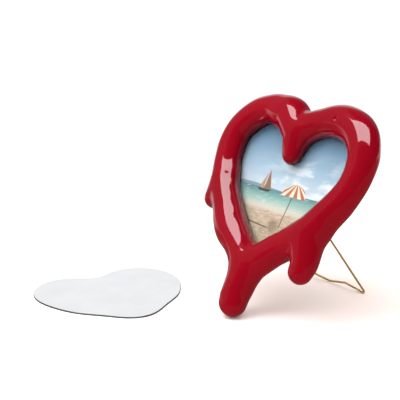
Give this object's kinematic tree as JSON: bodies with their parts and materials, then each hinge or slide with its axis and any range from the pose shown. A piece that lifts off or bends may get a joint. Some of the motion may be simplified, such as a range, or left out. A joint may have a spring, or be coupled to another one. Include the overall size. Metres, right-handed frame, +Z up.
{
  "type": "heart shaped photo frame",
  "caption": "Fat heart shaped table frame with drips, a glazed heart opening, a folding wire stand, turn buttons behind and a loose mirror of the same outline.",
  "frame": {"origin": "middle of the small flat under the long drip, on the table it stands on", "axes": "+X across the frame to its right as seen from the front, +Y back behind it, +Z up"},
  "size_m": [0.3846, 0.3369, 0.2577],
  "materials": {
    "red_lacquer": "cast resin under thick gloss lacquer",
    "clear_glass": "clear polished glass",
    "print_paper": "satin photo paper",
    "grey_card": "plain grey card",
    "board": "dense fibre board, raw",
    "felt": "thin black felt",
    "brass": "pressed brass, satin",
    "brass_wire": "drawn brass wire, bright",
    "mirror_glass": "polished mirror glass",
    "mirror_paint": "grey back paint"
  },
  "bodies": {
    "frame": {"frame_body": "red_lacquer", "glass_pane": "clear_glass", "photo_print": "print_paper", "mount_card": "grey_card", "backing_board": "board", "back_felt": "felt", "turn_button_screws": "brass", "hinge_plate": "brass", "hinge_screws": "brass"},
    "stand": {"stand_wire": "brass_wire"},
    "button_1": {"turn_button_1": "brass"},
    "button_2": {"turn_button_2": "brass"},
    "button_3": {"turn_button_3": "brass"},
    "button_4": {"turn_button_4": "brass"},
    "button_5": {"turn_button_5": "brass"},
    "mirror": {"mirror_plate": "mirror_glass", "mirror_coat": "mirror_paint"}
  },
  "joints": [
    {"name": "stand_fold", "type": "hinge", "parent": "frame", "child": "stand", "pos_m": [0, 0.09813, 0.14641], "axis": [1, 0, 0], "range_deg": [-61.5, 0]},
    {"name": "button_1_turn", "type": "hinge", "parent": "frame", "child": "button_1", "pos_m": [-0.09127, 0.08464, 0.12971], "axis": [0, 0.8581, -0.5135], "continuous": true},
    {"name": "button_2_turn", "type": "hinge", "parent": "frame", "child": "button_2", "pos_m": [-0.04347, 0.1442, 0.22923], "axis": [0, 0.8581, -0.5135], "continuous": true},
    {"name": "button_3_turn", "type": "hinge", "parent": "frame", "child": "button_3", "pos_m": [0.04887, 0.1442, 0.22923], "axis": [0, 0.8581, -0.5135], "continuous": true},
    {"name": "button_4_turn", "type": "hinge", "parent": "frame", "child": "button_4", "pos_m": [0.09667, 0.08464, 0.12971], "axis": [0, 0.8581, -0.5135], "continuous": true},
    {"name": "button_5_turn", "type": "hinge", "parent": "frame", "child": "button_5", "pos_m": [0.0027, 0.04487, 0.06326], "axis": [0, 0.8581, -0.5135], "continuous": true},
    {"name": "mirror_lift", "type": "slide", "parent": "frame", "child": "mirror", "axis": [0, 0, 1], "range_m": [0, 0.08]}
  ]
}
